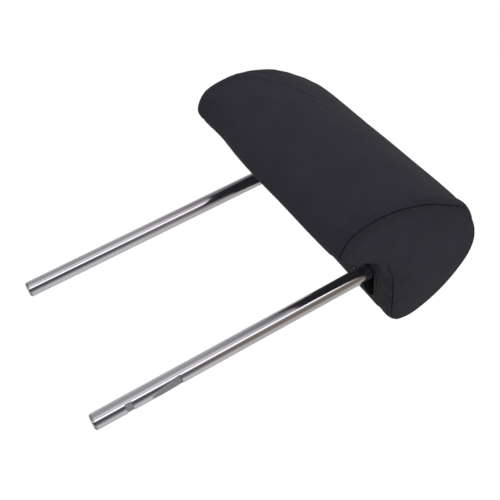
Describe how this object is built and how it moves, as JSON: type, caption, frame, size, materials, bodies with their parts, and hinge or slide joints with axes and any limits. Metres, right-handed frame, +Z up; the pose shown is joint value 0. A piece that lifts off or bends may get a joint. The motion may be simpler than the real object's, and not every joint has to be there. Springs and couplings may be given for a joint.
{
  "type": "chair headrest",
  "caption": "Padded chair headrest that tilts on a bent chrome rod, whose two posts slide into sleeves in a chair back.",
  "frame": {"origin": "midway between the centres of the two posts' lower end faces", "axes": "+Z up along the posts towards the pad, +X along the crossbar towards the notched post, +Y towards the back of the pad, away from the sitter's head"},
  "size_m": [0.191, 0.1315, 0.2974],
  "materials": {
    "chrome": "polished",
    "zinc_steel": "satin",
    "black_steel": "satin",
    "nylon": "satin",
    "black_plastic": "matte",
    "foam": "matte",
    "fabric": "matte"
  },
  "bodies": {
    "stem": {"stem_rod": "chrome", "tilt_stop_lug": "zinc_steel"},
    "pad": {"carrier_plate": "black_steel", "stop_bracket": "zinc_steel", "base_cover": "black_plastic", "clamp_saddle_left": "zinc_steel", "clamp_cap_left": "zinc_steel", "bush_upper_left": "nylon", "bush_lower_left": "nylon", "clamp_saddle_right": "zinc_steel", "clamp_cap_right": "zinc_steel", "bush_upper_right": "nylon", "bush_lower_right": "nylon", "clamp_screw_left_front": "black_steel", "spring_washer_left_front": "zinc_steel", "lock_nut_left_front": "zinc_steel", "spacer_sleeve_left_front": "zinc_steel", "base_screw_left_front": "black_steel", "clamp_screw_left_back": "black_steel", "spring_washer_left_back": "zinc_steel", "lock_nut_left_back": "zinc_steel", "spacer_sleeve_left_back": "zinc_steel", "base_screw_left_back": "black_steel", "clamp_screw_right_front": "black_steel", "spring_washer_right_front": "zinc_steel", "lock_nut_right_front": "zinc_steel", "spacer_sleeve_right_front": "zinc_steel", "base_screw_right_front": "black_steel", "clamp_screw_right_back": "black_steel", "spring_washer_right_back": "zinc_steel", "lock_nut_right_back": "zinc_steel", "spacer_sleeve_right_back": "zinc_steel", "base_screw_right_back": "black_steel", "stop_screw_left": "black_steel", "stop_screw_right": "black_steel", "foam_core": "foam", "cover_main_panel": "fabric", "cover_end_panel_left": "fabric", "cover_end_panel_right": "fabric"}
  },
  "joints": [
    {"name": "pad_tilt", "type": "hinge", "parent": "stem", "child": "pad", "pos_m": [0, 0, 0.252], "axis": [-1, 0, 0], "range_deg": [0, 30]}
  ]
}
